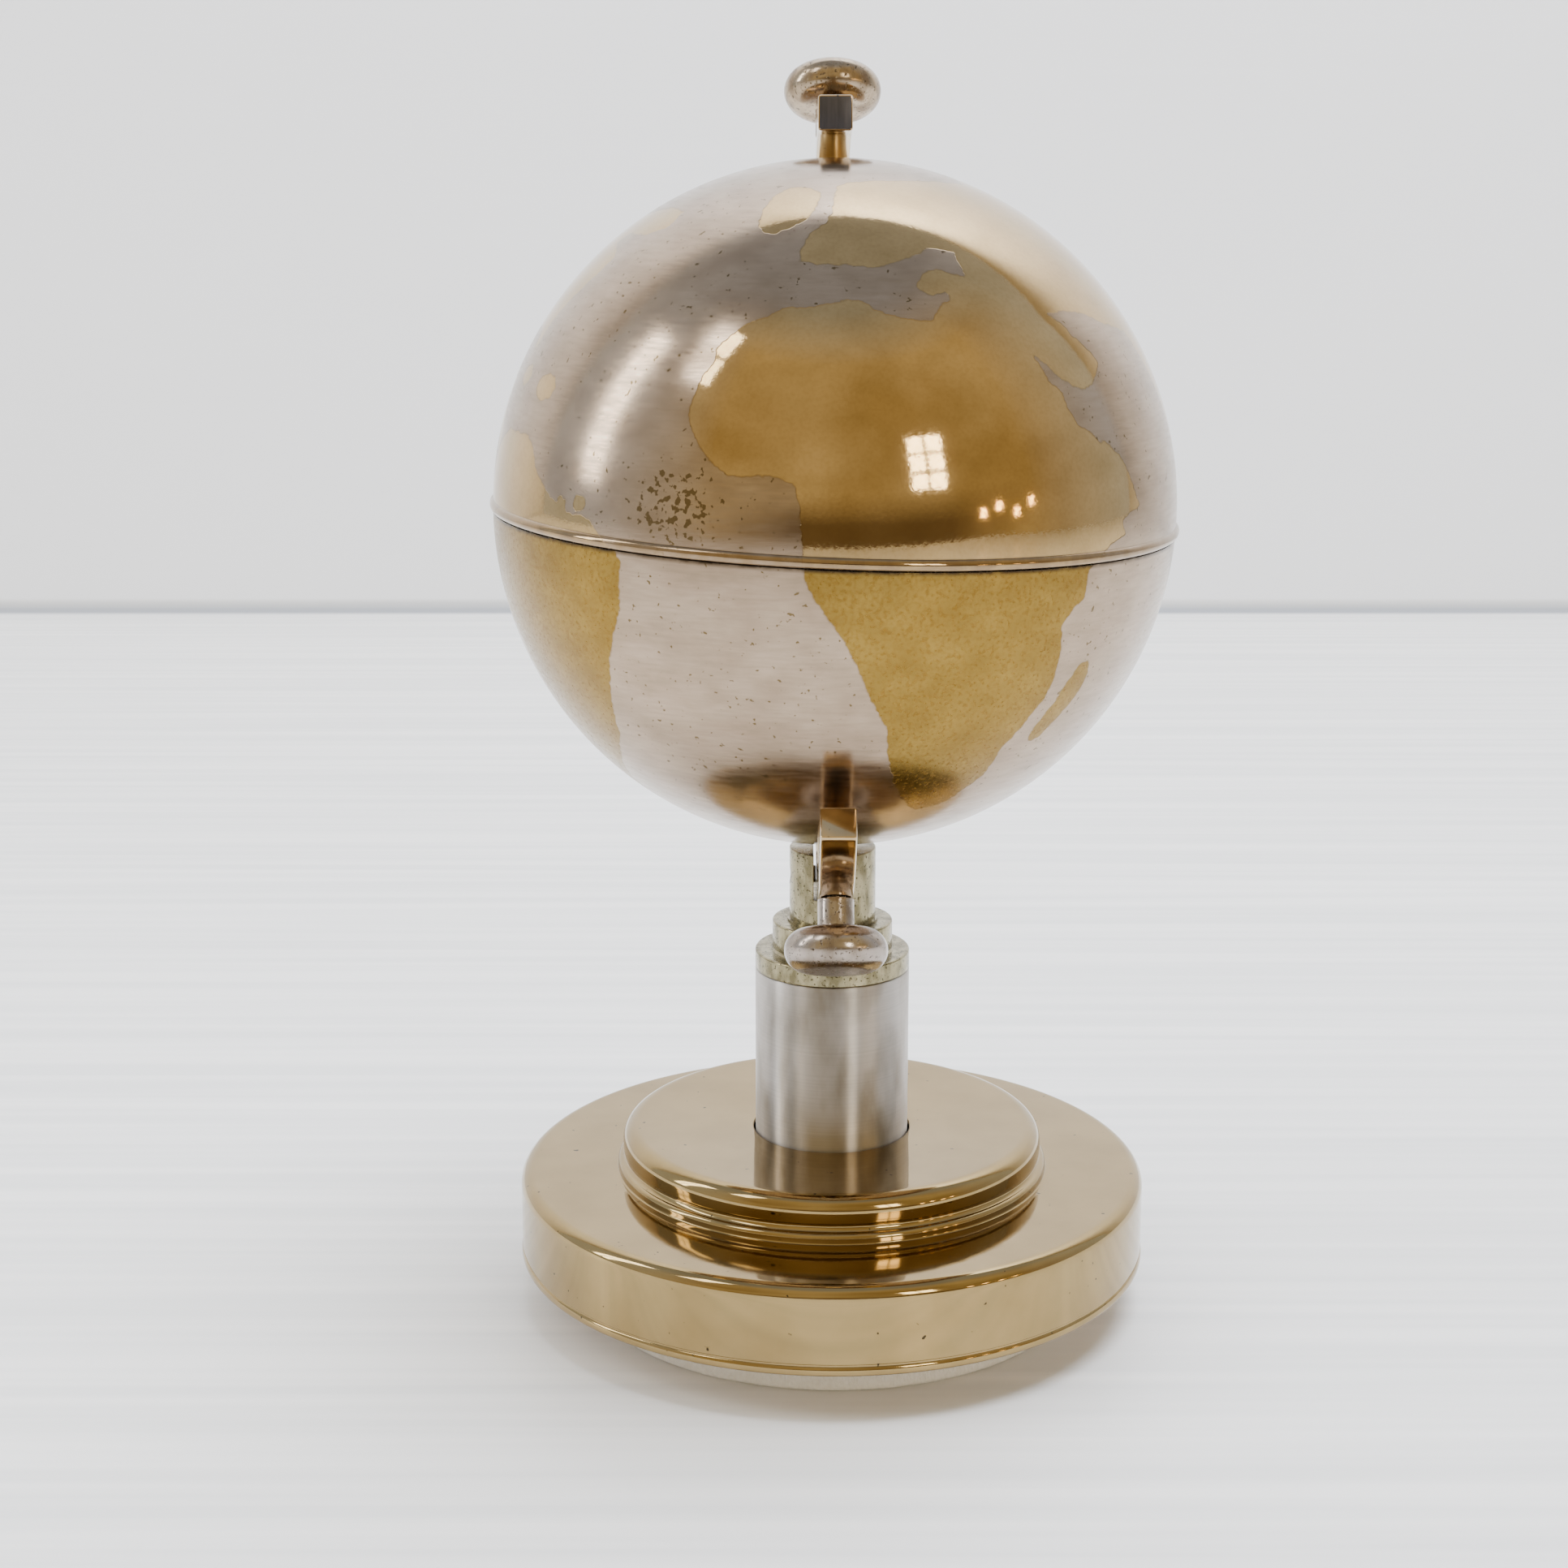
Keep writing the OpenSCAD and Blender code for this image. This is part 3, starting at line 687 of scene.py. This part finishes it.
for face in ends:
    # The end face above the centre gets the dark painted reflection; the one below keeps the bar's brass.
    face.material_index = 1 if face.calc_center_median().z > CENTRE_Z * MM else 0
edges = [edge for face in ends for edge in face.edges]
bmesh.ops.bevel(bm, geom=edges, offset=0.2 * MM, affect="EDGES", segments=2, profile=0.5, material=0)
depths = [vert.co.y / MM for vert in bm.verts]
print("bar from front to back, mm:", round(min(depths), 1), round(max(depths), 1))
bar = place_piece("meridian_bar", bm, "meridian", "meridian_arc", "bar_brass", bar_brass, end_face_reflection)
drill(bar, CENTRE, AXLE, 1.56, 140)

# %% [markdown]
# ## The globe's shells
# Each shell is a spun half-ball with a thin wall. Its section is an arc, and an arc is made by spinning a
# single vertex. The upper shell ends in a rolled lip, which hides the joint. The mesh is finer than a
# plain ball needs, because the coast is carried by its vertices.


# %% Globe shells
def draw_arc(bm, start, middle, degrees, steps):
    """Spins a vertex about a middle in the x-z plane, and returns the last vertex of the arc."""
    about = {"cent": (middle[0] * MM, 0, middle[1] * MM), "axis": (0, 1, 0)}
    made = bmesh.ops.spin(bm, geom=[start], angle=math.radians(degrees), steps=steps, **about)
    return made["geom_last"][0]


def shell_piece(name, wire_mesh, node, finish):
    """Spins a shell's section, finds each point's distance from the coast, and sets it in place."""
    spin_full(wire_mesh, steps=512, run=3)
    shore = wire_mesh.verts.layers.float.new("shore")
    seam = wire_mesh.verts.layers.float.new("seam")
    points = np.array([vert.co[:] for vert in wire_mesh.verts]) / MM
    lat = np.degrees(np.arcsin(np.clip(points[:, 2] / np.linalg.norm(points, axis=1), -1, 1)))
    lon = np.degrees(np.arctan2(points[:, 0], -points[:, 1]))
    land = np.zeros(len(points), bool)
    for outline in lands:
        for whole_turn in (-360, 0, 360):
            land |= is_land(lon + whole_turn, lat, outline)
    for vert, point, dry in zip(wire_mesh.verts, points, land):
        away = min(coast_tree.find(point)[2], 3)
        vert[shore] = away if dry else -away
        vert[seam] = point[2]
    print(name, "share of land:", round(float(land.mean()), 2))
    turn = Matrix.Translation(CENTRE) @ Matrix.Rotation(TURN, 4, AXLE)
    bmesh.ops.transform(wire_mesh, matrix=turn, verts=wire_mesh.verts[:])
    return place_piece(name, wire_mesh, "globe", node, "globe_metal", finish)


INNER_R = 49.2
bm = bmesh.new()
end = draw_arc(bm, bm.verts.new((0, 0, GLOBE_R * MM)), (0, 0), 89.9, 128)
lip_start = bm.verts.new((GLOBE_R * MM, 0, 0.006 * MM))
lip = draw_arc(bm, lip_start, (49.6, -0.8), 153.6, 14)
bm.edges.new((end, lip_start))
inner = bm.verts.new((INNER_R * MM, 0, SEAM_Z * MM))
bm.edges.new((lip, inner))
draw_arc(bm, inner, (0, 0), -91.98, 16)
shell_piece("upper_shell_plated", bm, "upper_shell", upper_map)

# %% [markdown]
# The lower shell starts just under the seam, where a plain cut joins its outer arc to its inner one.

# %% Lower shell
CUT_Z = -1.75
bm = bmesh.new()
top = bm.verts.new((math.sqrt(GLOBE_R**2 - CUT_Z**2) * MM, 0, CUT_Z * MM))
inner = bm.verts.new((math.sqrt(INNER_R**2 - CUT_Z**2) * MM, 0, CUT_Z * MM))
bm.edges.new((top, inner))
draw_arc(bm, top, (0, 0), 88, 124)
draw_arc(bm, inner, (0, 0), 87.96, 16)
shell_piece("lower_shell_plated", bm, "lower_shell", lower_map)

# %% [markdown]
# ## Knobs and spacers
# Each knob is a thick disc with a fully round edge on a short neck, screwed to the end of the axle. A
# small fillet joins neck and disc. They are turned upright and then leaned over with the axle.


# %% Knobs and spacers
def on_axle(bm, south):
    """Leans a piece that was turned about the z axis onto the axle, at its north or south end."""
    lean = Matrix.Rotation((math.pi if south else 0) - TILT, 4, "X")
    bmesh.ops.transform(bm, matrix=Matrix.Translation(CENTRE) @ lean, verts=bm.verts[:])
    return bm


knob_corners = [
    *[(0, 67.22), (1.52, 67.22), (1.52, 58.9), (2.6, 58.9), (2.6, 63.1), (7.4, 63.1)],
    *[(7.4, 69.3), (0, 69.3)],
]
spacer_corners = [(1.52, 50.02), (2.6, 49.95), (2.6, 53.7), (1.52, 53.7)]
for side, finish in (("north", knob_brass), ("south", knob_nickel)):
    knob = turned(knob_corners, {3: 0.1, 4: 0.4, 5: 3.09, 6: 3.09}, steps=160)
    knob = on_axle(knob, side == "south")
    place_piece(side + "_knob_turned", knob, "globe", side + "_knob", "knob_nickel", finish)
    spacer = on_axle(turned(spacer_corners, {2: 0.1}, True, 96), side == "south")
    node = side + "_spacer"
    place_piece(node + "_turned", spacer, "globe", node, "inner_brass", inner_brass)

# %% [markdown]
# ## Finishes for the CAD pieces that stay
# The pieces inside the base, the post and the globe keep their CAD shape and get the finish that
# the real ones would have.

# %% Carried-over pieces
kept = {
    "base_board": board_fibre,
    "base_weight": cast_iron,
    "tie_rod": drawn_steel,
    "tie_nut": drawn_steel,
    "tie_washer": drawn_steel,
    "clamp_screw": black_steel,
    "clamp_tip": white_nylon,
    "joint_ring": inner_brass,
    "axle": drawn_steel,
    "north_boss": inner_brass,
    "south_boss": inner_brass,
}
for node, finish in kept.items():
    cad_piece = frame["nodes"][node]
    if not cad_piece.material_slots:
        cad_piece.data.materials.append(finish)
    for holder in cad_piece.material_slots:
        holder.material = finish
print("carried over:", len(kept))

# %% [markdown]
# ## The studio
# A mirror shows what stands round it, so the room is most of a polished object's look. The floor and
# the wall are one pale sheet, with ribs that show on the floor and a grey line painted where the two
# meet, a painted shadow along the corner. The sky is bright, and dim and warm on the side where the
# camera stands, as a room is behind a table by a window.

# %% Floor and wall
white_board, tree, shader, place = new_finish("painted_white_board", Roughness=0.38)
shader.inputs["Specular IOR Level"].default_value = 0.35
ribs = grain(tree, place, 5, (0.02, 1, 1), detail=2)
board = mixed(tree, ranged(tree, ribs, 0.35, 0.65), "#DBDCDC", "#E9E9E8")
height = add_node(tree, "ShaderNodeSeparateXYZ", {0: place}).outputs[2]
board = mixed(tree, ranged(tree, height, 0.004, 0.006), board, "#E9EBEF")
# Painted shadow: a grey band just above the floor, on the curve up to the wall.
off_floor = ranged(tree, height, 0.0001, 0.001)
foot = ranged(tree, height, 0.002, 0.006, 1, 0)
foot = sum_of(tree, "MULTIPLY", off_floor, foot)
tree.links.new(mixed(tree, foot, board, "#9A9EA5"), shader.inputs["Base Color"])
bumped(tree, shader, ribs, 0.12)
bm = bmesh.new()
sheet = [bm.verts.new(corner) for corner in ((-1.6, -1.3, 0), (-1.6, 0.6, 0), (-1.6, 0.6, 1.5))]
bm.edges.new(sheet[:2])
bm.edges.new(sheet[1:])
bend = {"segments": 10, "profile": 0.5, "material": -1}
bmesh.ops.bevel(bm, geom=[sheet[1]], offset=0.005, affect="VERTICES", **bend)
drawn = bmesh.ops.extrude_edge_only(bm, edges=bm.edges[:])["geom"]
far_side = [part for part in drawn if isinstance(part, bmesh.types.BMVert)]
bmesh.ops.translate(bm, verts=far_side, vec=(3.2, 0, 0))
bmesh.ops.recalc_face_normals(bm, faces=bm.faces[:])
backdrop_mesh = bpy.data.meshes.new("backdrop")
bm.to_mesh(backdrop_mesh)
bm.free()
backdrop_mesh.shade_smooth()
backdrop_mesh.materials.append(white_board)
backdrop = bpy.data.objects.new("backdrop", backdrop_mesh)
bpy.context.scene.collection.objects.link(backdrop)
print("backdrop faces:", len(backdrop_mesh.polygons))

# %% [markdown]
# ## The sky
# The sky is worked out from the direction of each ray. The warm, dim room is seen on the camera's side
# and fades out to the sides and overhead. It is darkest near the floor, straight behind the camera.

# %% Sky
sky = bpy.data.worlds.new("room")
bpy.context.scene.world = sky
sky.use_nodes = True
tree = sky.node_tree
aim = add_node(tree, "ShaderNodeTexCoord").outputs["Generated"]
across, along, up = add_node(tree, "ShaderNodeSeparateXYZ", {0: aim}).outputs
bearing = sum_of(tree, "ARCTAN2", across, sum_of(tree, "MULTIPLY", along, -1))
turned_off = sum_of(tree, "ABSOLUTE", sum_of(tree, "SUBTRACT", bearing, 0.2))
beside = ranged(tree, turned_off, 0.95, 1.7, 1, 0)
below = ranged(tree, up, 0.8, 0.95, 1, 0)
dim = sum_of(tree, "MULTIPLY", beside, below)
furnished = add_node(tree, "ShaderNodeTexNoise", {"Vector": aim}, {"Scale": 1.6, "Detail": 3.0})
room = mixed(tree, ranged(tree, furnished.outputs[0], 0.4, 0.65), "#F0DCAE", "#CCB481")
near_floor = ranged(tree, up, 0.03, 0.2, 1, 0)
ahead = ranged(tree, turned_off, 0.45, 0.9, 0.9, 0)
room = mixed(tree, sum_of(tree, "MULTIPLY", near_floor, ahead), room, "#705B40")
overhead = mixed(tree, ranged(tree, up, 0.6, 0.95), "#EAF0F8", "#BCC3CD")
glow = mixed(tree, dim, overhead, room)
tree.links.new(glow, tree.nodes["Background"].inputs["Color"])
tree.nodes["Background"].inputs["Strength"].default_value = 1.0
print("sky nodes:", len(tree.nodes))

# %% [markdown]
# ## Windows and lamps
# Three windows and a row of small warm lamps are there to be mirrored. Each is a glowing card, cut
# into panes where it has glazing bars.


# %% Windows and lamps
def glowing_card(name, middle, wide, high, colour, strength, panes=(1, 1), bar=0.0):
    """A glowing rectangle that faces the globe, cut into panes. The camera doesn't see it."""
    material = bpy.data.materials.new(name)
    material.use_nodes = True
    tree = material.node_tree
    tree.nodes.remove(tree.nodes["Principled BSDF"])
    glow = add_node(tree, "ShaderNodeEmission", None, {"Color": linear(colour), "Strength": strength})
    tree.links.new(glow.outputs[0], tree.nodes["Material Output"].inputs["Surface"])
    bm = bmesh.new()
    bmesh.ops.create_grid(bm, x_segments=panes[0], y_segments=panes[1], size=0.5)
    bmesh.ops.scale(bm, verts=bm.verts[:], vec=(wide, high, 1))
    if bar:
        made = bmesh.ops.inset_individual(bm, faces=bm.faces[:], thickness=bar)
        bmesh.ops.delete(bm, geom=made["faces"], context="FACES")
    facing = (CENTRE - Vector(middle)).to_track_quat("Z", "Y").to_matrix().to_4x4()
    bmesh.ops.transform(bm, matrix=Matrix.Translation(middle) @ facing, verts=bm.verts[:])
    mesh = bpy.data.meshes.new(name)
    bm.to_mesh(mesh)
    bm.free()
    mesh.materials.append(material)
    card = bpy.data.objects.new(name, mesh)
    bpy.context.scene.collection.objects.link(card)
    card.visible_camera = False


glowing_card("window_right", (0.94, -1.63, 0.8), 0.42, 0.6, "#FFF6E4", 14, (2, 3), 0.025)
glowing_card("window_left", (-0.9, -0.52, 1.3), 0.3, 0.5, "#FFFFFF", 8, (1, 2), 0.02)
glowing_card("window_far_left", (-1.5, -0.05, 0.85), 0.26, 1.2, "#FFFFFF", 12, (2, 3), 0.02)
for number, (x, z) in enumerate(((1.02, 0.2), (1.12, 0.24), (1.25, 0.19), (1.38, 0.25))):
    glowing_card("lamp_%d" % number, (x, -0.95 + 0.1 * number, z), 0.045, 0.06, "#FFD9A0", 20)

# %% [markdown]
# ## Soft lights
# Two round lights brighten the set without showing in the metal: one falls on the globe from the left,
# and one washes down the wall behind it.


# %% Soft lights
def soft_light(name, place, aim, size, power, colour):
    """A round area light that stands at a place and points at its aim."""
    light = bpy.data.lights.new(name, "AREA")
    light.shape = "DISK"
    light.size = size
    light.energy = power
    light.color = linear(colour)[:3]
    lamp = bpy.data.objects.new(name, light)
    lamp.location = place
    lamp.rotation_euler = (Vector(aim) - lamp.location).to_track_quat("-Z", "Y").to_euler()
    lamp.visible_glossy = False
    bpy.context.scene.collection.objects.link(lamp)
    print(name, "W:", power)


soft_light("key", (-0.75, -0.3, 1.15), CENTRE, 1.4, 6, "#FFF9F2")
soft_light("wall_wash", (0.25, 0.1, 1.3), (0.0, 0.6, 0.45), 0.9, 38, "#F0F5FF")
